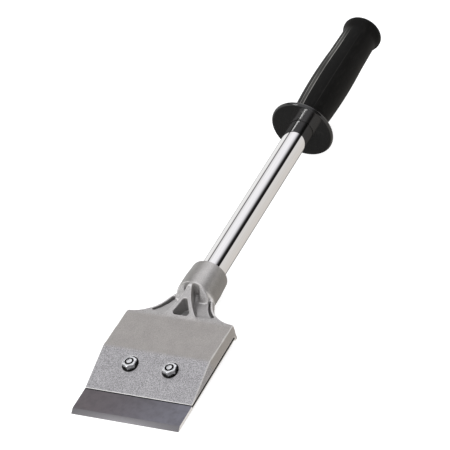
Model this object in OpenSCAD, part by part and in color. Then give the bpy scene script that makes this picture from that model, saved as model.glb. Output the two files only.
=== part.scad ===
// Roofing shovel: a short hand scraper for lifting shingles. A reversible steel blade is
// bolted under a cast wedge head, and a plated steel tube runs straight back to the grip.
// X is the blade's width, +Y runs from the cutting edge to the grip and +Z is up, square
// to the blade. The origin is the middle of the blade's sole, midway between its bolts.

/* [Blade] */
// Width of the cutting edge
blade_w = 101.6; // [90:0.1:130]
// Length of the blade, from one cutting edge to the other
blade_len = 108; // [104:0.5:116]
// Thickness of the blade
blade_t = 3; // [2.4:0.1:3.4]
// Length of the bevel ground on the top of each cutting edge
bevel_len = 4.1; // [3:0.1:8]

/* [Head casting] */
// How far the casting is wider than the blade
head_extra_w = 0.4; // [0:0.1:2]
// Where the casting's front lip lies, measured from the bolts
head_front_y = -27; // [-32:0.5:-22]
// Height of the front lip above the blade
lip_h = 0.6; // [0.4:0.1:2]
// Where the sloping front facet ends, measured from the bolts
kink_y = 13; // [11:0.5:20]
// Height of the wedge at the end of its front facet
kink_z = 14.6; // [13.6:0.1:18]
// Height of the wedge at its rear edge, and of the neck behind it
rear_z = 13.3; // [12.5:0.1:14]
// How far the heel lip hangs below the blade's sole
heel_drop = 1.9; // [0.5:0.1:4]

/* [Bolts] */
// Distance between the two blade bolts
bolt_spacing = 38.1; // [34:0.1:60]
// Thread diameter of a blade bolt
bolt_d = 6.35; // [6:0.01:6.6]
// Overall length of a blade bolt, its countersunk head included
bolt_len = 14.5; // [14.3:0.1:18]
// Width of a nut across its flats
nut_af = 11.1; // [10.8:0.1:11.8]
// Height of a nut
nut_h = 5.56; // [5:0.02:6.4]

/* [Handle] */
// Outside diameter of the handle tube
tube_d = 22.2; // [20:0.1:24]
// Wall thickness of the handle tube
tube_wall = 1.65; // [1.2:0.05:2.5]
// Height of the handle's axis above the blade's sole
axis_z = 8.75; // [8:0.05:10]
// Largest diameter of the collar that holds the tube
collar_d = 34.6; // [33:0.1:37]
// Where the collar ends, measured from the bolts
collar_end_y = 116; // [110:1:130]

/* [Grip] */
// Where the guard's front face lies, measured from the bolts
guard_y = 307; // [250:1:400]
// Diameter of the guard
guard_d = 59.4; // [50:0.1:70]
// Thickness of the guard
guard_t = 3.9; // [3:0.1:6]
// Diameter of the grip's barrel at its fullest
grip_d = 35.9; // [33:0.1:38]
// Length of the grip behind the guard
grip_len = 139.5; // [130:0.5:160]

/* [Hidden] */
$fn = 96;
past = 1;                             // how far a cutter runs past the metal
reach = 200;                          // a size larger than the casting, for clipping shapes

blade_y = blade_len / 2;
edge_land = 0.3;                      // flat left on the cutting edge by the stone

countersink = 41;                     // half angle of the bolts' heads
bolt_r = bolt_d / 2;
bolt_head_r = 6.35;
head_gap = 0.05;                      // clearance round a bolt's head in the blade
bolt_hole_r = bolt_r + 0.43;
bolt_chamfer = 0.8;
hex_key_af = 3.97;                    // socket in a bolt's head
hex_key_depth = 2;
nut_z = 8.7;                          // where the nuts seat
nut_face_r = nut_af / 2 - 0.15;       // flat round faces of a nut
nut_bevel = 30;                       // slope of the bevel round those faces
nut_bevel_w = 2;
nut_turn = [34, 40];                  // how the left and the right nut came to rest
thread_gap = 0.03;                    // clearance between a nut's bore and its bolt
nut_sink = 0.55;                      // countersink at both ends of that bore
spot_r = 7.3;                         // radius of the spot face round a nut

casting_w = blade_w + head_extra_w;
heel_gap = 0.2;                       // clearance between the blade and the heel lip
heel_y = blade_y + heel_gap;
heel_back_y = heel_y + 3.6;
rear_y = 57;                          // rear edge of the wedge
core_wall = 5;                        // walls left round the pockets under the wedge
core_roof = 4.5;

collar_y = 83.2;                      // front edge of the collar beside the handle's axis
collar_r = collar_d / 2;
collar_tail_r = collar_r - 0.9;
collar_round = 2.5;
collar_lean = 0.25;                   // the collar's front edge leans back towards its crown

neck_half_w = 18.8;                   // half the neck's width where its arcs come closest
neck_arc_r = casting_w / 2 - neck_half_w;
neck_arc = [casting_w / 2, rear_y + neck_arc_r + 1];
neck_bottom_z = 5;
neck_fade = [92, 8];                  // where the neck's rims have run out into the collar
neck_join = [21.3, 78.2];             // from here the rims turn in to meet the collar
neck_end = [16.6, 86.5];              // half width and place of the neck's end in the collar
rim_z = 12.7;                         // height of the neck's outer rims at the collar
rim_w = 1.8;
slot_w = 2.2;                         // slots between the rims and the tongues
slot_z = 7;
slot_from = 197;                      // where each slot starts and ends on the neck's arc
slot_to = 230;
slot_arc_r = neck_arc_r + rim_w + slot_w / 2;
slot_end_r = slot_w / 2 + 0.05;       // the core's rounded ends were a touch wider than the slot

tongue_y = 59.5;                      // the tongues beside the ramp sink below the rims
tongue_bend = [63.5, 12.3];
tongue_end = [78.7, 11];
tongue_step = 0.8;                    // step down behind each tongue
tongue_half_w = neck_arc.x + slot_arc_r * cos(slot_to);

ramp_foot_y = 54.5;                   // the ramp starts just under the wedge's top
ramp_foot_z = 12.95;
ramp_top = [83.2, 25.3];
ramp_arc = [51.5, 93.5];              // concave sides of the ramp, seen from above
ramp_arc_r = 50.35;
ramp_end_y = 91;
window_z = 6.5;                       // floor of the ramp's window

hub_r = collar_r - 1;                 // sand-textured hub inside the collar's front edge
hub_top = [87.2, 24];                 // where the hub's slope meets the collar
keel_r = 8;                           // front end of the cone under the neck
socket_floor_y = 88;
socket_gap = 0.05;                    // clearance round the tube in its socket

tube_r = tube_d / 2;
tube_start_y = socket_floor_y + 0.5;
guard_r = guard_d / 2;
grip_y = guard_y + guard_t;
grip_end_y = grip_y + grip_len;
grip_r = grip_d / 2;
grip_wall_end = 8;                    // solid rubber behind the tube's end
tube_end_y = grip_end_y - grip_wall_end;
swell_y = grip_y + 59;                // the barrel is fullest here and bows in a long arc
swell_arc_r = 600;
swell_len = 95;                       // where that arc runs out into a straight taper
tail_r = grip_r - 1.7;                // end of that taper, at the foot of the flare
tail_y = grip_end_y - 14;
flare_r = grip_r + 0.7;
flare_round = 4.5;

pin_y = 100;
pin_r = 2.4;
pin_bore_r = 1.5;
pin_slot_w = 1;
pin_gap = 0.05;
pin_len = 9;
pin_z = axis_z - tube_r - 6;          // lower end of the pin, just inside the collar's skin

// Extrudes a side view, drawn as [y, z] points, across the given width
module side_view(width) rotate([90, 0, 90]) linear_extrude(width, center = true) children();

// Turns a profile, drawn as [radius, y], about the handle's axis
module turned() translate([0, 0, axis_z]) rotate([-90, 0, 0]) rotate_extrude() children();

// A solid bar of one radius along the handle's axis
module axis_bar(r, from_y, to_y)
    translate([0, from_y, axis_z]) rotate([-90, 0, 0]) cylinder(r = r, h = to_y - from_y);

// Puts its children at both bolts
module at_bolts() for (x = [-1, 1] * bolt_spacing / 2) translate([x, 0, 0]) children();

// A drawing and its mirror image across the handle's plane
module both_sides() for (side = [0, 1]) mirror([side, 0, 0]) children();

// The wedge that lies on the blade, with the heel lip that hangs behind it
module wedge()
    side_view(casting_w) polygon([
        [head_front_y, blade_t], [head_front_y, blade_t + lip_h], [kink_y, kink_z],
        [rear_y, rear_z], [heel_back_y, -heel_drop], [heel_y, -heel_drop], [heel_y, blade_t]]);

// Cored pockets in the underside of the wedge, hidden by the blade
module wedge_cores() {
    pocket_w = (casting_w - 4 * core_wall) / 3;
    for (i = [-1:1])
        translate([i * (pocket_w + core_wall), 0, 0])
            side_view(pocket_w) polygon([
                [kink_y + core_wall, blade_t - past], [kink_y + core_wall, kink_z - core_roof],
                [heel_y - core_wall, rear_z - core_roof], [heel_y - core_wall, blade_t - past]]);
}

// A flat shape that narrows between two arcs, one on either side of the handle's plane
module waist(from_y, to_y, arc, r)
    difference() {
        translate([-arc.x, from_y]) square([2 * arc.x, to_y - from_y]);
        both_sides() translate(arc) circle(r);
    }

// The neck between the wedge and the collar, its middle sunk below its two rims
module neck()
    difference() {
        intersection() {
            linear_extrude(reach) intersection() {
                waist(rear_y - past, neck_end.y, neck_arc, neck_arc_r);
                polygon([[-reach, 0], [-reach, neck_join.y], [-neck_join.x, neck_join.y],
                         [-neck_end.x, neck_end.y + past], [neck_end.x, neck_end.y + past],
                         neck_join, [reach, neck_join.y], [reach, 0]]);
            }
            side_view(reach) polygon([
                [rear_y - past, neck_bottom_z], [rear_y - past, rear_z], [collar_y, rim_z],
                neck_fade, [neck_fade.x, neck_bottom_z]]);
        }
        intersection() {
            linear_extrude(reach) intersection() {
                waist(rear_y, neck_arc.y, neck_arc, slot_arc_r);
                translate([-tongue_half_w, rear_y]) square([2 * tongue_half_w, reach]);
            }
            side_view(reach) polygon([
                [tongue_y, reach], [tongue_y, rear_z], tongue_bend, tongue_end,
                tongue_end - [0, tongue_step], [neck_arc.y, tongue_end.y - tongue_step],
                [neck_arc.y, reach]]);
        }
    }

// One curved slot beside the neck's rim, as a drawing
module slot_outline()
    translate(neck_arc) {
        intersection() {
            difference() {
                circle(slot_arc_r + slot_w / 2);
                circle(slot_arc_r - slot_w / 2);
            }
            polygon([[0, 0], for (a = [slot_from, slot_to]) reach * [cos(a), sin(a)]]);
        }
        for (a = [slot_from, slot_to])
            translate(slot_arc_r * [cos(a), sin(a)]) circle(slot_end_r);
    }

// The channel between the ramp and the tongue beside it, its floor rising to the collar
module channel()
    intersection() {
        linear_extrude(reach)
            polygon([[13.4, 59], [15.6, 59], [10.9, 66.2], [5.6, 76.6], [7.4, 79],
                     [6.6, ramp_end_y], [1, ramp_end_y], [1, 80]]);
        side_view(reach) polygon([
            [rear_y, reach], [rear_y, 9], [tongue_end.x, 11], [ramp_end_y, 17],
            [ramp_end_y, reach]]);
    }

// The hub behind the tongues, a part cylinder cut to a slope
module hub()
    intersection() {
        axis_bar(hub_r, tongue_end.x - 8, ramp_end_y);
        side_view(reach) polygon([
            [rear_y, -reach], [rear_y, tongue_end.y - tongue_step],
            tongue_end - [0, tongue_step], hub_top, [ramp_end_y, hub_top.y],
            [ramp_end_y, -reach]]);
    }

// The keel, a half cone that carries the collar's load forward under the neck
module keel()
    intersection() {
        turned() polygon([[0, rear_y - 2], [keel_r, rear_y - 2],
                          [collar_r - 0.6, collar_y + past], [0, collar_y + past]]);
        translate([-reach / 2, 0, tongue_end.y - reach - 2]) cube([reach, reach, reach]);
    }

// The raised ramp that runs up from the wedge to the crown of the collar
module ramp()
    intersection() {
        translate([0, 0, window_z]) linear_extrude(reach)
            waist(ramp_foot_y, ramp_end_y, ramp_arc, ramp_arc_r);
        side_view(reach) polygon([
            [ramp_foot_y, 0], [ramp_foot_y, ramp_foot_z], ramp_top,
            [ramp_end_y, ramp_top.y], [ramp_end_y, 0]]);
    }

// The rounded triangular window in the ramp
module ramp_window()
    translate([0, 0, window_z]) linear_extrude(reach) hull() {
        both_sides() translate([5.3, 61.3]) circle(2.3, $fn = 32);
        both_sides() translate([0.9, 71.4]) circle(1.4, $fn = 32);
    }

// The collar, with its front edge leaning back to the crown and its rear rim rounded
module collar()
    intersection() {
        turned() {
            polygon([[0, collar_y - past], [collar_r, collar_y - past],
                     [collar_r, collar_y + 17], [collar_tail_r, collar_end_y - collar_round],
                     [collar_tail_r - collar_round, collar_end_y], [0, collar_end_y]]);
            intersection() {
                translate([collar_tail_r - collar_round, collar_end_y - collar_round])
                    circle(collar_round);
                translate([0, collar_end_y - collar_round]) square(reach);
            }
        }
        side_view(reach) polygon([
            [collar_y, -reach], [collar_y, axis_z],
            [collar_y + collar_lean * reach, axis_z + reach], [2 * reach, reach],
            [2 * reach, -reach]]);
    }

module head_casting() color("#a9a7a2")
    difference() {
        union() {
            difference() {
                union() {
                    wedge();
                    neck();
                    hub();
                    keel();
                }
                both_sides() translate([0, 0, slot_z]) linear_extrude(reach) slot_outline();
                both_sides() channel();
            }
            ramp();
            collar();
        }
        ramp_window();
        wedge_cores();
        at_bolts() {
            cylinder(r = bolt_hole_r, h = reach);
            translate([0, 0, nut_z]) cylinder(r = spot_r, h = reach);
        }
        axis_bar(tube_r + socket_gap, socket_floor_y, collar_end_y + past);
        translate([0, pin_y, -reach]) cylinder(r = pin_r + pin_gap, h = reach + axis_z);
    }

module blade() color("#6e6c73")
    difference() {
        side_view(blade_w) polygon([
            [-blade_y, 0], [-blade_y, edge_land], [bevel_len - blade_y, blade_t],
            [blade_y - bevel_len, blade_t], [blade_y, edge_land], [blade_y, 0]]);
        at_bolts() {
            countersunk_head(bolt_head_r + head_gap);
            translate([0, 0, -past]) cylinder(r = bolt_hole_r, h = blade_t + 2 * past);
        }
    }

// The cone of a countersunk head, down to the bolt's shank
module countersunk_head(r)
    cylinder(r1 = r, r2 = bolt_r, h = (r - bolt_r) / tan(countersink));

module blade_bolt(x) color("#c3c6c9")
    translate([x, 0, 0]) difference() {
        union() {
            countersunk_head(bolt_head_r);
            cylinder(r = bolt_r, h = bolt_len - bolt_chamfer);
            translate([0, 0, bolt_len - bolt_chamfer])
                cylinder(r1 = bolt_r, r2 = bolt_r - bolt_chamfer, h = bolt_chamfer);
        }
        translate([0, 0, -past])
            cylinder(d = hex_key_af / cos(30), h = hex_key_depth + past, $fn = 6);
    }

// A hexagon nut whose corners are bevelled top and bottom
module blade_nut(x, turn) color("#c3c6c9") {
    bore_r = bolt_r + thread_gap;
    bevelled_r = nut_face_r + nut_bevel_w;
    bevel_h = nut_bevel_w * tan(nut_bevel);
    translate([x, 0, nut_z]) difference() {
        intersection() {
            rotate(turn) cylinder(d = nut_af / cos(30), h = nut_h, $fn = 6);
            rotate_extrude() polygon([
                [0, 0], [nut_face_r, 0], [bevelled_r, bevel_h], [bevelled_r, nut_h - bevel_h],
                [nut_face_r, nut_h], [0, nut_h]]);
        }
        translate([0, 0, -past]) cylinder(r = bore_r, h = nut_h + 2 * past);
        translate([0, 0, nut_h - nut_sink])
            cylinder(r1 = bore_r, r2 = bore_r + nut_sink + past, h = nut_sink + past);
        translate([0, 0, -past])
            cylinder(r1 = bore_r + nut_sink + past, r2 = bore_r, h = nut_sink + past);
    }
}

module handle_tube() color("#dcdcdc")
    difference() {
        axis_bar(tube_r, tube_start_y, tube_end_y);
        axis_bar(tube_r - tube_wall, tube_start_y - past, tube_end_y + past);
        translate([0, pin_y, -reach]) cylinder(r = pin_r + pin_gap, h = reach + axis_z);
    }

// A slotted spring pin that keeps the tube in the collar, driven in from below
module tube_pin() color("#8a8c8f")
    translate([0, pin_y, pin_z]) difference() {
        cylinder(r = pin_r, h = pin_len);
        translate([0, 0, -past]) cylinder(r = pin_bore_r, h = pin_len + 2 * past);
        translate([0, -pin_slot_w / 2, -past]) cube([2 * pin_r, pin_slot_w, pin_len + 2 * past]);
    }

// Radius of the grip's bowed barrel at a place along the handle
function barrel_r(y) = grip_r - pow(y - swell_y, 2) / (2 * swell_arc_r);

// The moulded grip: a round guard, a bowed barrel and a flared, rounded end
module hand_grip() color("#1f1f1e")
    difference() {
        turned() {
            polygon([[0, guard_y], [guard_r - guard_t / 2, guard_y],
                     [guard_r - guard_t / 2, grip_y],
                     for (y = [grip_y:5:grip_y + swell_len]) [barrel_r(y), y],
                     [tail_r, tail_y], [flare_r, grip_end_y - flare_round - 1],
                     [flare_r, grip_end_y - flare_round],
                     [flare_r - flare_round, grip_end_y], [0, grip_end_y]]);
            translate([guard_r - guard_t / 2, guard_y + guard_t / 2]) circle(guard_t / 2);
            translate([flare_r - flare_round, grip_end_y - flare_round]) circle(flare_round);
        }
        axis_bar(tube_r, guard_y - past, tube_end_y);
    }

head_casting();
blade();
blade_bolt(-bolt_spacing / 2);  // blade_bolt_left
blade_bolt(bolt_spacing / 2);  // blade_bolt_right
blade_nut(-bolt_spacing / 2, nut_turn[0]);  // blade_nut_left
blade_nut(bolt_spacing / 2, nut_turn[1]);  // blade_nut_right
handle_tube();
tube_pin();
hand_grip();
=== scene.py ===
"""The looks of the roofing shovel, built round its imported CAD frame. Lengths are in metres."""
import math

import bmesh
import bpy
import numpy as np
from mathutils import Matrix, Vector


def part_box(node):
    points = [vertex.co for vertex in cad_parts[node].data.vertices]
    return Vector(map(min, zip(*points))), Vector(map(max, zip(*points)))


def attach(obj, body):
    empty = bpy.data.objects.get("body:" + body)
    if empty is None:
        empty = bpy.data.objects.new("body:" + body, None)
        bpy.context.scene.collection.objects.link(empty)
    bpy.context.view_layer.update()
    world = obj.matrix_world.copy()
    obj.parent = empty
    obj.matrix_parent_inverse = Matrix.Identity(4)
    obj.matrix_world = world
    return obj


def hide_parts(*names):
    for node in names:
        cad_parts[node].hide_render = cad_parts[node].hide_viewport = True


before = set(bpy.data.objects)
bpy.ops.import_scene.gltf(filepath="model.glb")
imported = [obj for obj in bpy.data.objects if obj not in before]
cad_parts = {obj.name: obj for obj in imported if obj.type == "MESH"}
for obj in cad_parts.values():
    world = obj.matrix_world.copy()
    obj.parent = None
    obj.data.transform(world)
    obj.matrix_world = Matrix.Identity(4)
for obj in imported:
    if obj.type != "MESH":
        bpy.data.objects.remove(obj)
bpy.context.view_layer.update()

MM = 0.001

# Places read from the frame
casting_low, casting_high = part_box("head_casting")
blade_low, blade_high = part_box("blade")
tube_low, tube_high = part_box("handle_tube")
grip_low, grip_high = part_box("hand_grip")
nut_low, nut_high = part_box("blade_nut_right")
nut_x = (nut_low.x + nut_high.x) / 2
tube_r = (tube_high.x - tube_low.x) / 2
axis_z = (tube_high.z + tube_low.z) / 2
guard_r = axis_z - grip_low.z
collar_r = casting_high.z - axis_z

# Finer measures of the shapes that replace the plain CAD solids
TUBE_WALL = 1.65 * MM
TUBE_SIDES = 160
GUARD_T = 3.9 * MM
GRIP_SIDES = 288
BARREL_R = 17.95 * MM                 # the barrel at its fullest
BARREL_ARC_R = 600 * MM               # the long arc in which it bows
SWELL = 59 * MM                       # from the guard's back to the fullest place
ARC_END = 95 * MM                     # from the guard's back to the end of that arc
TAIL_R = 16.25 * MM                   # the barrel at the foot of the flare
TAIL_BACK = 14 * MM                   # from the foot of the flare to the grip's end
FLARE_R = 18.65 * MM
FLARE_ROUND = 4.5 * MM
GUARD_FILLET = 1.6 * MM
# Thin raised lines along the barrel: degrees round the axis, and how strong a painted highlight
# each has
MOULD_LINES_AND_HIGHLIGHTS = ((112, 0.9), (98, 1.0), (60, 0.04), (292, 0.9), (278, 1.0), (240, 0.04))
PAINTED_SHEEN_BANDS = (105, 285)               # middles of the bands of faint painted sheen between two lines
LINE_HALF_WIDTH = 1.7                 # in degrees
LINE_HEIGHT = 0.12 * MM
CASTING_VOXEL = 0.58 * MM             # size of the cells in which the casting is remeshed
MERGE = 0.001 * MM                    # corners of a CAD mesh closer than this become one
PLATE_ROUND = 0.12 * MM               # how far the blade's and the nuts' edges are rounded off
BOLT_ROUND = 0.10 * MM

# Places where the looks change, and how far dirt and wear reach
KINK_Y = 13 * MM                      # where the wedge's sloping front facet ends
NECK_Y = 57 * MM                      # the wedge's rear edge, where the neck begins
TONGUE_Y = 78.7 * MM                  # where the neck's two tongues end before the hub
TONGUE_SPAN = (7.7 * MM, 13.7 * MM)   # from the middle to the sides of a tongue
COLLAR_Y = 83.2 * MM                  # the collar's front edge
COLLAR_HIGHLIGHT_ANGLE = 62                      # middle of the collar's painted highlight, degrees round the axis
COLLAR_HIGHLIGHT_WIDTH = 46                      # degrees over which the painted highlight fades into painted shade on either side
BEVEL_LEN = 4.1 * MM                  # length of the bevel at each end of the blade
BOLT_R = 3.175 * MM
JOINT_SHADOW_REACH = 1.0 * MM                 # how far the painted shadow, with dirt in the joint, comes out before the casting's lip
JOINT_SHADOW_DEPTH = 1.8 * MM                # how far that painted shadow goes down the blade's sides
NUT_SHADE_R = 7.1 * MM                    # the disc of painted shade round a nut's axis, on the casting
RING_W = 0.9 * MM                     # width of the ring of painted shade between a bolt and its nut

# Colours, as linear light
CAST_FRONT = (0.300, 0.296, 0.303)    # the wedge's front facet
CAST_REAR = (0.300, 0.286, 0.272)     # its rear facet
CAST_NECK = (0.355, 0.347, 0.342)
# The collar's two colours are painted shade and a painted highlight
COLLAR_PAINTED_SHADE = (0.205, 0.199, 0.190)
COLLAR_PAINTED_HIGHLIGHT = (0.45, 0.44, 0.428)      # the collar's painted highlight
CAST_PAINTED_HIGHLIGHT = (0.95, 0.94, 0.92)         # painted highlights on raised edges
# painted shade in the casting's hollows
CAST_PAINTED_SHADE = (0.12, 0.117, 0.112)
# painted shade round the nuts on the casting, and on the nuts and bolts
NUT_PAINTED_SHADE = (0.02, 0.019, 0.018)
BLADE_LEFT = (0.118, 0.102, 0.110)    # the blade's face, from its left side to its right
BLADE_RIGHT = (0.134, 0.134, 0.157)
BLADE_BLOTCH = (0.075, 0.068, 0.074)
BLADE_SPECK = (0.15, 0.146, 0.155)
BEVEL_DARK = (0.105, 0.102, 0.108)    # between the fine lines on its bevels, and on them
BEVEL_LIGHT = (0.14, 0.136, 0.143)
BLADE_SIDE = (0.72, 0.715, 0.71)
# painted shadow under the casting's lip and on the blade's sides beneath it, with dirt in the joint
JOINT_SHADOW_AND_DIRT = (0.006, 0.006, 0.006)
ZINC_LIGHT = (0.66, 0.67, 0.68)
ZINC_DULL = (0.42, 0.43, 0.44)
CHROME_DARK = (0.55, 0.547, 0.545)
CHROME_LIGHT = (0.585, 0.58, 0.577)
PIN_DARK = (0.20, 0.20, 0.21)
PIN_LIGHT = (0.34, 0.34, 0.35)
VINYL_BLACK = (0.0078, 0.0078, 0.0074)
VINYL_SCUFF = (0.0125, 0.012, 0.0115)
# painted highlight on the grip's mould lines and in bands between them
VINYL_PAINTED_HIGHLIGHT = (0.30, 0.295, 0.275)

# How strongly the grip reflects, and how roughly: its barrel is dull and its guard glossy
BARREL_SHINE = (0.03, 0.42)
GUARD_SHINE = (0.5, 0.10)


# ---------------------------------------------------------------- camera and light

CAMERA_AZIMUTH = 37.26                # degrees
CAMERA_ELEVATION = 38.73
CAMERA_ROLL = 18.07
CAMERA_LENS = 208.64                  # millimetres, like its sensor
CAMERA_SENSOR = 36.0
CAMERA_AIM = Vector((-0.0151, 0.1759, 0.00875))
CAMERA_DISTANCE = 2.2549
CAMERA_FAR = 20.0                     # it sees nothing beyond this
LAMP_SIDE = Vector((-0.47, -0.62, 0.63))
LAMP_DISTANCE = 1.6
LAMP_SIZE = 0.36
LAMP_WATTS = 7.0
FLOOR_SIZE = 3.0
FLOOR_GAP = 0.3 * MM                  # it lies this far under the tool
FLOOR_GLOW = 0.88                     # light it gives of itself, so that shadows stay faint
FLOOR_SHADE = (0.40, 0.40, 0.40, 1)


def look_from(azimuth, elevation, roll):
    """A camera's rotation: azimuth 0 looks along +Y, and roll turns the picture."""
    back = Vector((math.sin(azimuth) * math.cos(elevation),
                   -math.cos(azimuth) * math.cos(elevation), math.sin(elevation)))
    right = Vector((math.cos(azimuth), math.sin(azimuth), 0.0))
    up = back.cross(right)
    turned_right = right * math.cos(roll) - up * math.sin(roll)
    turned_up = right * math.sin(roll) + up * math.cos(roll)
    return Matrix((turned_right, turned_up, back)).transposed(), back


def add_camera():
    """The camera at the fitted angle, with one of the lenses that suit it."""
    rotation, back = look_from(math.radians(CAMERA_AZIMUTH), math.radians(CAMERA_ELEVATION),
                               math.radians(CAMERA_ROLL))
    data = bpy.data.cameras.new("camera")
    data.sensor_width = CAMERA_SENSOR
    data.lens = CAMERA_LENS
    data.clip_end = CAMERA_FAR
    camera = bpy.data.objects.new("camera", data)
    bpy.context.scene.collection.objects.link(camera)
    away = back * CAMERA_DISTANCE
    camera.matrix_world = Matrix.Translation(CAMERA_AIM + away) @ rotation.to_4x4()
    bpy.context.scene.camera = camera


# The studio that the tool reflects, by the angle round the handle's axis in degrees (0 is the
# tool's right, 90 straight up). It is white but for a black band up on the right, a narrow
# grey one up on the left and a wide grey one below. The bands are chosen for the tube's look
STUDIO = (
    (-180, (1.40, 1.40, 1.40)), (-152, (0.80, 0.80, 0.80)), (-134, (0.22, 0.22, 0.22)),
    (-100, (0.24, 0.23, 0.22)), (-78, (0.98, 0.93, 0.88)), (-40, (1.08, 1.03, 0.98)),
    (0, (1.12, 1.09, 1.06)), (23, (1.16, 1.13, 1.11)), (26, (0.01, 0.01, 0.01)),
    (45, (0.02, 0.02, 0.02)), (53, (0.24, 0.24, 0.25)), (63, (1.00, 0.99, 1.03)),
    (78, (1.50, 1.49, 1.55)), (108, (1.55, 1.54, 1.58)), (132, (1.22, 1.21, 1.23)),
    (137, (0.20, 0.19, 0.20)), (145, (0.20, 0.19, 0.20)), (149, (1.38, 1.38, 1.37)),
    (180, (1.40, 1.40, 1.40)),
)


def add_world():
    """A white backdrop for the camera, and the studio as the light on everything else."""
    world = bpy.data.worlds.new("studio")
    bpy.context.scene.world = world
    world.use_nodes = True
    nodes, links = world.node_tree.nodes, world.node_tree.links
    background = nodes["Background"]
    direction = nodes.new("ShaderNodeSeparateXYZ")
    links.new(nodes.new("ShaderNodeTexCoord").outputs["Generated"], direction.inputs[0])
    angle = nodes.new("ShaderNodeMath")
    angle.operation = "ARCTAN2"
    links.new(direction.outputs["Z"], angle.inputs[0])
    links.new(direction.outputs["X"], angle.inputs[1])
    turn = nodes.new("ShaderNodeMapRange")
    turn.inputs["From Min"].default_value = -math.pi
    turn.inputs["From Max"].default_value = math.pi
    links.new(angle.outputs[0], turn.inputs["Value"])
    walls = nodes.new("ShaderNodeValToRGB")
    stops = walls.color_ramp.elements
    while len(stops) > 1:
        stops.remove(stops[0])
    for i, (degrees, color) in enumerate(STUDIO):
        stop = stops[0] if i == 0 else stops.new((degrees + 180) / 360)
        stop.position = (degrees + 180) / 360
        stop.color = (*color, 1)
    links.new(turn.outputs[0], walls.inputs["Fac"])
    seen = nodes.new("ShaderNodeLightPath")
    pick = nodes.new("ShaderNodeMix")
    pick.data_type = "RGBA"
    links.new(seen.outputs["Is Camera Ray"], pick.inputs[0])
    links.new(walls.outputs["Color"], pick.inputs[6])
    pick.inputs[7].default_value = (1, 1, 1, 1)
    links.new(pick.outputs[2], background.inputs["Color"])


def key_light():
    """A soft box above and in front of the tool, on its left; the camera doesn't see it."""
    data = bpy.data.lights.new("soft_box", "AREA")
    data.shape = "RECTANGLE"
    data.size = LAMP_SIZE
    data.size_y = LAMP_SIZE
    data.energy = LAMP_WATTS
    lamp = bpy.data.objects.new("soft_box", data)
    bpy.context.scene.collection.objects.link(lamp)
    aim = Vector((0, (casting_low.y + casting_high.y) / 2, axis_z))
    away = LAMP_SIDE.normalized() * LAMP_DISTANCE
    facing = away.to_track_quat("Z", "Y").to_matrix().to_4x4()
    lamp.matrix_world = Matrix.Translation(aim + away) @ facing
    lamp.visible_camera = False


def add_floor():
    """A pale floor under the blade's edge and the guard, clear when seen from below."""
    edge = Vector((0, blade_low.y, blade_low.z))
    guard = Vector((0, grip_low.y + GUARD_T / 2, grip_low.z))
    along = (guard - edge).normalized()
    up = Vector((1, 0, 0)).cross(along)
    b = bmesh.new()
    bmesh.ops.create_grid(b, x_segments=1, y_segments=1, size=FLOOR_SIZE)
    turn = Matrix(((1, along.x, up.x), (0, along.y, up.y), (0, along.z, up.z))).to_4x4()
    b.transform(Matrix.Translation(edge - up * FLOOR_GAP) @ turn)
    floor = piece_from(b, "floor", None)
    look = Look("floor_paper")
    from_below = look.node("ShaderNodeNewGeometry").outputs["Backfacing"]
    paper = look.node("ShaderNodeEmission", {"Color": (1, 1, 1, 1), "Strength": FLOOR_GLOW})
    shade = look.node("ShaderNodeBsdfDiffuse", {"Color": FLOOR_SHADE})
    both = look.node("ShaderNodeAddShader", {0: paper.outputs[0], 1: shade.outputs[0]})
    clear = look.node("ShaderNodeBsdfTransparent")
    sides = look.node("ShaderNodeMixShader",
                      {0: from_below, 1: both.outputs[0], 2: clear.outputs[0]})
    look.links.new(sides.outputs[0], look.nodes["Material Output"].inputs["Surface"])
    floor.data.materials.append(look.material)
    floor.visible_glossy = False
    floor.visible_diffuse = False


# ---------------------------------------------------------------- node materials

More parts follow.
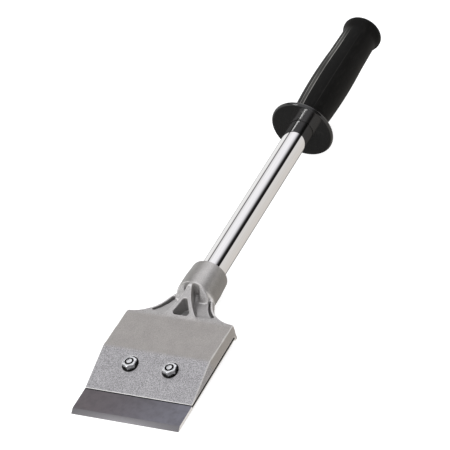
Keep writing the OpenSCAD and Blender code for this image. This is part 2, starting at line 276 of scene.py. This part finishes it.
class Look:
    """One node material, with short calls for the nodes that it is made of."""

    def __init__(self, name):
        self.material = bpy.data.materials.new(name)
        self.material.use_nodes = True
        self.nodes = self.material.node_tree.nodes
        self.links = self.material.node_tree.links
        self.surface = self.nodes["Principled BSDF"]
        self.place = self.node("ShaderNodeTexCoord").outputs["Object"]
        self.x, self.y, self.z = self.node(
            "ShaderNodeSeparateXYZ", {0: self.place}).outputs

    def feed(self, socket, value):
        """Wires a socket to another node's output, or sets its number."""
        if isinstance(value, bpy.types.NodeSocket):
            self.links.new(value, socket)
        else:
            socket.default_value = value

    def node(self, kind, inputs=None, **settings):
        """A new node with its settings, and its inputs wired or set."""
        made = self.nodes.new(kind)
        for name, value in settings.items():
            setattr(made, name, value)
        for socket, value in (inputs or {}).items():
            self.feed(made.inputs[socket], value)
        return made

    def set(self, **inputs):
        """Sets the shader's own sockets: base_color is "Base Color", and so on."""
        for name, value in inputs.items():
            label = name.replace("_", " ").title()
            if name == "specular":
                label = "Specular IOR Level"
            if isinstance(value, tuple) and len(value) == 3:
                value = (*value, 1)
            self.feed(self.surface.inputs[label], value)

    def math(self, operation, a, b=0.0):
        return self.node("ShaderNodeMath", {0: a, 1: b}, operation=operation).outputs[0]

    def times(self, first, *others):
        """The product of several numbers."""
        for other in others:
            first = self.math("MULTIPLY", first, other)
        return first

    def distance(self, a, b):
        """The length of a flat vector from its two parts."""
        squares = self.math("ADD", self.math("MULTIPLY", a, a), self.math("MULTIPLY", b, b))
        return self.math("POWER", squares, 0.5)

    def from_bolt(self, x):
        """How far a place is from the upright axis of the bolt at x."""
        return self.distance(self.math("SUBTRACT", self.x, x), self.y)

    def span(self, value, low, high, at_low=0.0, at_high=1.0):
        """Maps value's span from low to high to another, with smooth ends."""
        made = self.node("ShaderNodeMapRange", {
            "Value": value, "From Min": low, "From Max": high,
            "To Min": at_low, "To Max": at_high}, interpolation_type="SMOOTHSTEP")
        return made.outputs["Result"]

    def stretched(self, stretch):
        """Places scaled along each axis; a small number draws a texture out along it."""
        if stretch == (1, 1, 1):
            return self.place
        return self.node("ShaderNodeVectorMath", {0: self.place, 1: stretch},
                         operation="MULTIPLY").outputs[0]

    def noise(self, size, detail, stretch=(1, 1, 1)):
        """Soft noise about 0.5, its blotches about size across."""
        made = self.node("ShaderNodeTexNoise", {
            "Vector": self.stretched(stretch), "Scale": 1 / size, "Detail": detail})
        return made.outputs[0]

    def grains(self, size):
        """A random number from 0 to 1 in each grain of the given size."""
        made = self.node("ShaderNodeTexVoronoi", {"Vector": self.place, "Scale": 1 / size})
        return self.node("ShaderNodeSeparateColor", {0: made.outputs["Color"]}).outputs[0]

    def mix(self, factor, a, b, blend="MIX"):
        """Colour a where the factor is 0, and b (or a times b) where it is 1."""
        made = self.node("ShaderNodeMix", data_type="RGBA", blend_type=blend)
        for socket, value in ((0, factor), (6, a), (7, b)):
            if isinstance(value, tuple) and len(value) == 3:
                value = (*value, 1)
            self.feed(made.inputs[socket], value)
        return made.outputs[2]

    def grey(self, value):
        """A number as a colour."""
        return self.node("ShaderNodeCombineColor", {0: value, 1: value, 2: value}).outputs[0]

    def around_axis(self, degrees):
        """How far a place is round the handle's axis from the given angle, in degrees."""
        up = self.math("SUBTRACT", self.z, axis_z)
        a = math.radians(degrees)
        side = self.math("ADD", self.math("MULTIPLY", self.x, math.cos(a)),
                         self.math("MULTIPLY", up, math.sin(a)))
        cross = self.math("SUBTRACT", self.math("MULTIPLY", up, math.cos(a)),
                          self.math("MULTIPLY", self.x, math.sin(a)))
        angle = self.math("ARCTAN2", cross, side)
        return self.math("ABSOLUTE", self.math("MULTIPLY", angle, 180 / math.pi))

    def attribute(self, name):
        return self.node("ShaderNodeAttribute", attribute_name=name).outputs["Fac"]

    def bump(self, height, depth, strength, over=None):
        """Relief of the given depth, on top of another relief if there is one."""
        inputs = {"Height": height, "Distance": depth, "Strength": strength}
        if over is not None:
            inputs["Normal"] = over
        return self.node("ShaderNodeBump", inputs).outputs["Normal"]


def cast_colors(look, front, neck, collar):
    """The casting's colours: the two facets, the neck, and the collar, which is painted dark as
    shade with a painted highlight along one stretch of its round."""
    color = look.mix(front, CAST_REAR, CAST_FRONT)
    color = look.mix(neck, color, CAST_NECK)
    # Painted highlight round the collar, fading to painted shade on either side
    collar_highlight = look.span(look.around_axis(COLLAR_HIGHLIGHT_ANGLE), 0, COLLAR_HIGHLIGHT_WIDTH, 1, 0)
    return look.mix(collar, color, look.mix(collar_highlight, COLLAR_PAINTED_SHADE, COLLAR_PAINTED_HIGHLIGHT))


def tongue_edge_highlights(look):
    """Painted highlights on the rear edges of the neck's two tongues."""
    off_middle = look.math("ABSOLUTE", look.x)
    inner, outer = TONGUE_SPAN
    return look.times(look.span(look.y, TONGUE_Y - 1.0 * MM, TONGUE_Y - 0.7 * MM),
                      look.span(look.y, TONGUE_Y, TONGUE_Y + 0.5 * MM, 1, 0),
                      look.span(off_middle, inner - 0.5 * MM, inner + 0.5 * MM, 0, 0.7),
                      look.span(off_middle, outer - 0.3 * MM, outer + 0.3 * MM, 1, 0))


def collar_lip_highlight(look):
    """A painted highlight along the collar's front edge."""
    reach = look.distance(look.x, look.math("SUBTRACT", look.z, axis_z))
    return look.times(look.span(look.y, COLLAR_Y - 0.6 * MM, COLLAR_Y),
                      look.span(look.y, COLLAR_Y + 1.2 * MM, COLLAR_Y + 3.2 * MM, 0.5, 0),
                      look.span(reach, collar_r - 1.2 * MM, collar_r - 0.6 * MM))


def cast_metal():
    """Cast light alloy with a grainy sparkle, strong on the front facet, less so at both ends
    of the neck and weak elsewhere. It has painted highlights on raised edges, and painted
    shade in hollows and round the nuts; its collar is painted light and shade."""
    look = Look("cast_metal")
    front = look.span(look.y, KINK_Y - 3 * MM, KINK_Y + 3 * MM, 1, 0)
    neck = look.span(look.y, NECK_Y - 4 * MM, NECK_Y + 3 * MM)
    collar = look.span(look.y, COLLAR_Y + 1 * MM, COLLAR_Y + 6 * MM)
    foot = look.span(look.y, NECK_Y, NECK_Y + 5 * MM, 0.6, 0)
    hub = look.span(look.y, TONGUE_Y, TONGUE_Y + 1 * MM, 0, 0.4)
    sand = look.math("ADD", front, look.times(neck, look.math("ADD", foot, hub)))
    sand = look.times(sand, look.span(collar, 0, 1, 1, 0))
    coarse = look.span(look.noise(0.85 * MM, 4), 0.3, 0.7)
    speck = look.math("ADD", look.times(look.grains(0.45 * MM), 0.5), look.times(coarse, 0.5))
    sparkle = look.times(look.math("SUBTRACT", speck, 0.5), look.span(sand, 0, 1, 0.36, 1.25))
    shade = look.math("ADD", look.math("ADD", sparkle, 1.0),
                      look.span(look.grains(0.2 * MM), 0, 1, -0.08, 0.08))
    shade = look.times(shade, look.span(look.noise(9 * MM, 4), 0.25, 0.75, 0.94, 1.05))
    color = cast_colors(look, front, neck, collar)
    color = look.mix(1.0, color, look.grey(shade), "MULTIPLY")
    # Painted shade in hollows
    color = look.mix(look.attribute("painted_hollow_shade"), color, CAST_PAINTED_SHADE)
    # Painted highlights: on raised edges (rim), on the tongues' rear edges and along the collar's
    # front edge
    for pale in (look.attribute("rim"), tongue_edge_highlights(look), collar_lip_highlight(look)):
        color = look.mix(pale, color, CAST_PAINTED_HIGHLIGHT)
    # A disc of painted shade round each nut
    for x in (nut_x, -nut_x):
        nut_shade = look.span(look.from_bolt(x), NUT_SHADE_R, NUT_SHADE_R + 0.4 * MM, 1, 0)
        color = look.mix(nut_shade, color, NUT_PAINTED_SHADE)
    relief = look.bump(look.grains(0.5 * MM), 0.05 * MM, look.span(sand, 0, 1, 0.15, 0.5))
    relief = look.bump(look.noise(0.9 * MM, 5), 0.08 * MM, 0.2, relief)
    look.set(base_color=color, metallic=0.6, roughness=look.span(speck, 0, 1, 0.36, 0.50),
             normal=relief)
    return look.material


def blade_steel():
    """Dark blotchy steel with fine lengthwise lines on its bevels, pale sides, and painted shadow,
    with dirt in the joint, under the casting's lip and along the top of the sides behind it."""
    look = Look("blade_steel")
    half = (blade_high.y - blade_low.y) / 2
    from_middle = look.math("ABSOLUTE", look.y)
    bevel = look.span(from_middle, half - BEVEL_LEN - 0.15 * MM, half - BEVEL_LEN + 0.15 * MM)
    face = look.mix(look.span(look.x, blade_low.x, blade_high.x), BLADE_LEFT, BLADE_RIGHT)
    face = look.mix(look.span(look.noise(5 * MM, 5), 0.35, 0.75, 0, 0.45), face, BLADE_BLOTCH)
    face = look.mix(look.span(look.noise(0.5 * MM, 3), 0.4, 0.8, 0, 0.3), face, BLADE_SPECK)
    lines = look.noise(0.22 * MM, 3, (1, 0.06, 1))
    lined = look.mix(look.span(lines, 0.3, 0.7), BEVEL_DARK, BEVEL_LIGHT)
    color = look.mix(bevel, face, lined)
    side = look.span(look.math("ABSOLUTE", look.x), blade_high.x - 0.10 * MM,
                     blade_high.x - 0.04 * MM)
    color = look.mix(side, color, BLADE_SIDE)
    # Painted shadow, with dirt in the joint, under the casting and on the tops of the sides
    joint_shadow_z = blade_high.z - JOINT_SHADOW_DEPTH
    joint_shadow = look.times(
        look.span(look.y, casting_low.y - JOINT_SHADOW_REACH, casting_low.y - 0.1 * MM),
        look.span(look.z, joint_shadow_z - 0.2 * MM, joint_shadow_z + 0.2 * MM))
    color = look.mix(joint_shadow, color, JOINT_SHADOW_AND_DIRT)
    rough = look.math("ADD", look.span(bevel, 0, 1, 0.40, 0.44),
                      look.span(lines, 0.3, 0.7, -0.04, 0.05))
    relief = look.bump(lines, 0.02 * MM, look.span(bevel, 0, 1, 0.12, 0.35))
    relief = look.bump(look.noise(0.8 * MM, 4), 0.03 * MM, 0.35, relief)
    look.set(base_color=color, metallic=0.75, roughness=rough, normal=relief)
    return look.material


def zinc_plate(name, middle_x, shade_from, shade_to):
    """Zinc plating on a fastener, dulled in blotches, with painted shade where it meets another
    part: in a ring between two radii round its axis, and low on its sides."""
    look = Look(name)
    blotch = look.noise(1.6 * MM, 4)
    color = look.mix(look.span(blotch, 0.35, 0.7), ZINC_LIGHT, ZINC_DULL)
    radius = look.from_bolt(middle_x)
    # Painted shade in a ring round the axis, and low on the sides
    ring = look.times(look.span(radius, shade_from, shade_from + 0.15 * MM),
                      look.span(radius, shade_to - 0.15 * MM, shade_to, 1, 0))
    low = look.times(look.span(look.z, nut_low.z + 0.4 * MM, nut_low.z + 1.5 * MM, 1, 0),
                     look.span(look.z, blade_high.z, nut_low.z))
    color = look.mix(look.math("MAXIMUM", ring, low), color, NUT_PAINTED_SHADE)
    rough = look.span(look.noise(0.7 * MM, 4), 0.3, 0.7, 0.14, 0.30)
    relief = look.bump(look.noise(0.35 * MM, 3), 0.02 * MM, 0.35)
    look.set(base_color=color, metallic=1.0, roughness=rough, normal=relief)
    return look.material


def chrome():
    """Polished plating with faint lengthwise lines and a little haze."""
    look = Look("chrome_plate")
    lines = look.noise(0.5 * MM, 4, (1, 0.02, 1))
    haze = look.noise(14 * MM, 3, (1, 0.35, 1))
    color = look.mix(look.span(lines, 0.3, 0.7), CHROME_LIGHT, CHROME_DARK)
    rough = look.math("ADD", look.span(haze, 0.3, 0.7, 0.010, 0.035),
                      look.span(lines, 0.35, 0.65, 0.0, 0.015))
    relief = look.bump(lines, 0.012 * MM, 0.10)
    relief = look.bump(look.noise(26 * MM, 2, (1, 0.4, 1)), 0.25 * MM, 0.12, relief)
    look.set(base_color=color, metallic=1.0, roughness=rough, normal=relief)
    return look.material


def spring_steel():
    """The pin: dark steel with fine lines round it."""
    look = Look("spring_steel")
    lines = look.noise(0.25 * MM, 3, (0.3, 0.3, 1))
    color = look.mix(look.span(lines, 0.3, 0.7), PIN_DARK, PIN_LIGHT)
    look.set(base_color=color, metallic=0.9, roughness=look.span(lines, 0.3, 0.7, 0.3, 0.45),
             normal=look.bump(lines, 0.02 * MM, 0.4))
    return look.material


def black_vinyl(name, gloss, dullness):
    """Moulded black vinyl: orange peel, scuffs, and painted highlights on and between mould lines.
    """
    look = Look(name)
    peel = look.noise(1.1 * MM, 3)
    scuff = look.noise(3.0 * MM, 5, (1, 0.25, 1))
    color = look.mix(look.span(scuff, 0.5, 0.75), VINYL_BLACK, VINYL_SCUFF)
    along = look.times(
        look.span(look.y, grip_low.y + GUARD_T, grip_low.y + 14 * MM),
        look.span(look.y, grip_high.y - 30 * MM, grip_high.y - 13 * MM, 1, 0),
        look.span(look.noise(9 * MM, 3, (1, 0.2, 1)), 0.3, 0.6, 0.35, 1))
    # Painted highlights along the mould lines, and faint painted sheen in bands between them
    for degrees, strength in MOULD_LINES_AND_HIGHLIGHTS:
        line = look.span(look.around_axis(degrees), 0.4, LINE_HALF_WIDTH, strength, 0)
        color = look.mix(look.times(line, along), color, VINYL_PAINTED_HIGHLIGHT)
    for degrees in PAINTED_SHEEN_BANDS:
        band = look.span(look.around_axis(degrees), 5, 7.5, 0.16, 0)
        color = look.mix(look.times(band, along), color, VINYL_PAINTED_HIGHLIGHT)
    rough = look.math("ADD", look.span(scuff, 0.45, 0.8, dullness, dullness + 0.12),
                      look.span(peel, 0.3, 0.7, -0.01, 0.02))
    relief = look.bump(peel, 0.02 * MM, 0.12)
    relief = look.bump(look.noise(0.18 * MM, 2), 0.006 * MM, 0.2, relief)
    look.set(base_color=color, roughness=rough, specular=gloss, normal=relief)
    return look.material


# ---------------------------------------------------------------- meshes

def piece_from(b, name, look):
    """Turns a bmesh into a linked object with smooth shading."""
    bmesh.ops.recalc_face_normals(b, faces=b.faces)
    mesh = bpy.data.meshes.new(name)
    b.to_mesh(mesh)
    b.free()
    for polygon in mesh.polygons:
        polygon.use_smooth = True
    piece = bpy.data.objects.new(name, mesh)
    bpy.context.scene.collection.objects.link(piece)
    if look is not None:
        mesh.materials.append(look)
    return piece


def stands_for(piece, node):
    """The piece replaces a CAD node, and takes its place on the one rigid body."""
    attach(piece, "root")
    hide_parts(node)
    return piece


def softened(node, name, look, width):
    """A CAD node's mesh with its sharp edges rounded off, as a new piece."""
    flat, corner, crisp = (math.radians(degrees) for degrees in (1, 20, 35))
    b = bmesh.new()
    b.from_mesh(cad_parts[node].data)
    bmesh.ops.remove_doubles(b, verts=b.verts, dist=MERGE)
    bmesh.ops.dissolve_limit(b, angle_limit=flat, verts=b.verts, edges=b.edges)
    sharp = [e for e in b.edges
             if len(e.link_faces) == 2 and e.calc_face_angle(0) > corner]
    bmesh.ops.bevel(b, geom=sharp, offset=width, segments=2, profile=0.5,
                    affect="EDGES", clamp_overlap=True)
    piece = piece_from(b, name, look)
    piece.data.set_sharp_from_angle(angle=crisp)
    return stands_for(piece, node)


def turned(name, look, rings, sides, radius_at=None):
    """A mesh turned about the handle's axis through (y, radius) rings; radius_at, if given,
    changes a ring's radius with the angle."""
    b = bmesh.new()
    loops = []
    for y, r in rings:
        if r == 0:
            loops.append([b.verts.new((0, y, axis_z))])
            continue
        loop = []
        for i in range(sides):
            angle = 2 * math.pi * i / sides
            far = radius_at(y, r, angle) if radius_at else r
            loop.append(b.verts.new((far * math.cos(angle), y,
                                     axis_z + far * math.sin(angle))))
        loops.append(loop)
    for here, there in zip(loops, loops[1:]):
        for i in range(sides):
            j = (i + 1) % sides
            corners = [here[i % len(here)], here[j % len(here)],
                       there[j % len(there)], there[i % len(there)]]
            b.faces.new(list(dict.fromkeys(corners)))
    return piece_from(b, name, look)


def arc(centre_y, centre_r, radius, start, end, steps):
    """Rings along a round corner; angle 0 points along +Y and 90 away from the axis."""
    for i in range(steps + 1):
        a = math.radians(start + (end - start) * i / steps)
        yield centre_y + radius * math.cos(a), centre_r + radius * math.sin(a)


def tube_rings():
    """Rings along the outside and back down the bore, with both rims rounded."""
    rim = TUBE_WALL / 2
    outside = tube_r - rim
    length = tube_high.y - tube_low.y
    steps = 48
    yield from arc(tube_low.y + rim, outside, rim, 180, 90, 6)
    for i in range(1, steps):
        yield tube_low.y + length * i / steps, tube_r
    yield from arc(tube_high.y - rim, outside, rim, 90, -90, 10)
    yield from arc(tube_low.y + rim, outside, rim, 270, 180, 6)


def barrel_radius(y):
    """The grip's radius behind the guard: a bowed barrel, then a straight tail and a flare."""
    back = grip_low.y + GUARD_T
    tail_y = grip_high.y - TAIL_BACK
    flare_y = grip_high.y - FLARE_ROUND
    arc_end = back + ARC_END
    if y < arc_end:
        return BARREL_R - (y - back - SWELL) ** 2 / (2 * BARREL_ARC_R)
    arc_end_r = BARREL_R - (ARC_END - SWELL) ** 2 / (2 * BARREL_ARC_R)
    if y < tail_y:
        return arc_end_r + (TAIL_R - arc_end_r) * (y - arc_end) / (tail_y - arc_end)
    t = min((y - tail_y) / (flare_y - tail_y), 1.0)
    return TAIL_R + (FLARE_R - TAIL_R) * t * t * (3 - 2 * t)


def grip_rings():
    """Rings from the bore's floor round the guard and the barrel to the middle of the end."""
    front, end = grip_low.y, grip_high.y
    back = front + GUARD_T
    edge = GUARD_T / 2
    mouth = 0.7 * MM
    bore_end = tube_high.y
    yield bore_end, 0
    yield bore_end, tube_r
    yield front + mouth, tube_r
    yield from arc(front + mouth, tube_r + mouth, mouth, 270, 180, 6)
    for i in range(1, 8):
        yield front, tube_r + mouth + (guard_r - edge - tube_r - mouth) * i / 8
    yield from arc(front + edge, guard_r - edge, edge, 180, 0, 20)
    foot = barrel_radius(back + GUARD_FILLET) + GUARD_FILLET
    for i in range(1, 6):
        yield back, guard_r - edge + (foot - guard_r + edge) * i / 6
    yield from arc(back + GUARD_FILLET, foot, GUARD_FILLET, 180, 270, 8)
    start, stop = back + GUARD_FILLET, end - FLARE_ROUND
    steps = 110
    for i in range(1, steps):
        y = start + (stop - start) * i / steps
        yield y, barrel_radius(y)
    yield from arc(stop, FLARE_R - FLARE_ROUND, FLARE_ROUND, 90, 0, 14)
    for share in (0.75, 0.5, 0.25):
        yield end, (FLARE_R - FLARE_ROUND) * share
    yield end, 0


def with_mould_lines(y, r, angle):
    """The grip's radius with its thin raised lines, which run out at the guard and flare."""
    start, stop = grip_low.y + GUARD_T + 4 * MM, grip_high.y - TAIL_BACK
    if y < start or y > stop:
        return r
    fade = min((y - start) / (8 * MM), (stop - y) / (8 * MM), 1.0)
    rise = 0
    for degrees, _ in MOULD_LINES_AND_HIGHLIGHTS:
        away = abs((math.degrees(angle) - degrees + 180) % 360 - 180)
        rise = max(rise, 1 - away / LINE_HALF_WIDTH)
    return r + LINE_HEIGHT * fade * rise


def neighbour_mean(values, edges, counts):
    """The mean of each vertex's neighbours, for a column of numbers or for points."""
    total = np.zeros_like(values)
    np.add.at(total, edges[:, 0], values[edges[:, 1]])
    np.add.at(total, edges[:, 1], values[edges[:, 0]])
    return total / (counts[:, None] if values.ndim == 2 else counts)


def store(mesh, name, values):
    layer = mesh.attributes.new(name, "FLOAT", "POINT")
    layer.data.foreach_set("value", values.astype(np.float32))


def stand_proud(points, normals, edges, counts, rounds):
    """How far each point stands proud of its smoothed surroundings, in voxels."""
    smooth = points
    for _ in range(rounds):
        smooth = 0.5 * smooth + 0.5 * neighbour_mean(smooth, edges, counts)
    return ((points - smooth) * normals).sum(1) / CASTING_VOXEL


def cast_piece():
    """The casting, remeshed so that its edges can soften as in a mould, with its convex
    edges and its hollows marked for the material's painted highlights and painted shade."""
    b = bmesh.new()
    b.from_mesh(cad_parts["head_casting"].data)
    bmesh.ops.remove_doubles(b, verts=b.verts, dist=MERGE)
    rough = piece_from(b, "casting_rough", None)
    remesh = rough.modifiers.new("voxels", "REMESH")
    remesh.mode = "VOXEL"
    remesh.voxel_size = CASTING_VOXEL
    mesh = bpy.data.meshes.new_from_object(
        rough.evaluated_get(bpy.context.evaluated_depsgraph_get()))
    bpy.data.objects.remove(rough)
    mesh.name = "casting"
    count = len(mesh.vertices)
    points = np.empty(count * 3)
    mesh.vertices.foreach_get("co", points)
    points = points.reshape(-1, 3)
    edges = np.empty(len(mesh.edges) * 2, int)
    mesh.edges.foreach_get("vertices", edges)
    edges = edges.reshape(-1, 2)
    counts = np.bincount(edges.ravel(), minlength=count).astype(float)
    y = points[:, 1]
    # Edges soften most behind the wedge, and least at the front lip and low down
    soft = np.clip((y - (NECK_Y - 4 * MM)) / (6 * MM), 0.25, 0.7)
    soft[y < casting_low.y + 1.5 * MM] = 0.1
    soft[points[:, 2] < blade_high.z + 1.0 * MM] *= 0.3
    for _ in range(5):
        step = neighbour_mean(points, edges, counts) - points
        points = points + step * (0.5 * soft)[:, None]
    points = np.clip(points, np.array(casting_low), np.array(casting_high))
    mesh.vertices.foreach_set("co", points.ravel())
    mesh.update()
    normals = np.empty(count * 3)
    mesh.vertices.foreach_get("normal", normals)
    normals = normals.reshape(-1, 3)
    narrow = stand_proud(points, normals, edges, counts, 4)
    broad = stand_proud(points, normals, edges, counts, 24)
    # rim: where painted highlights go, on narrow and on broad convex edges
    store(mesh, "rim", np.clip((narrow - 0.10) / 0.40, 0, 0.8)
          + np.clip((broad - 0.5) / 3.0, 0, 0.3))
    # where painted shade goes: the hollows
    store(mesh, "painted_hollow_shade", np.clip((-broad - 0.20) / 1.2, 0, 1))
    for polygon in mesh.polygons:
        polygon.use_smooth = True
    piece = bpy.data.objects.new("casting", mesh)
    bpy.context.scene.collection.objects.link(piece)
    mesh.materials.clear()
    mesh.materials.append(cast_metal())
    return stands_for(piece, "head_casting")


bpy.context.scene.view_settings.view_transform = "Standard"
add_camera()
add_world()
add_floor()
key_light()

cast_piece()
softened("blade", "blade_plate", blade_steel(), PLATE_ROUND)
for side, x in (("left", -nut_x), ("right", nut_x)):
    nut_look = zinc_plate("zinc_nut_" + side, x, BOLT_R, BOLT_R + RING_W)
    softened("blade_nut_" + side, "nut_" + side, nut_look, PLATE_ROUND)
    bolt_look = zinc_plate("zinc_bolt_" + side, x, BOLT_R - RING_W, BOLT_R + 0.2 * MM)
    softened("blade_bolt_" + side, "bolt_" + side, bolt_look, BOLT_ROUND)
stands_for(turned("tube", chrome(), list(tube_rings()), TUBE_SIDES), "handle_tube")
grip = turned("grip", black_vinyl("black_vinyl", *BARREL_SHINE), list(grip_rings()),
              GRIP_SIDES, with_mould_lines)
grip.data.materials.append(black_vinyl("glossy_vinyl", *GUARD_SHINE))
for polygon in grip.data.polygons:
    polygon.material_index = int(polygon.center.y < grip_low.y + GUARD_T)
stands_for(grip, "hand_grip")
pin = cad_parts["tube_pin"]
pin.data.materials.clear()
pin.data.materials.append(spring_steel())
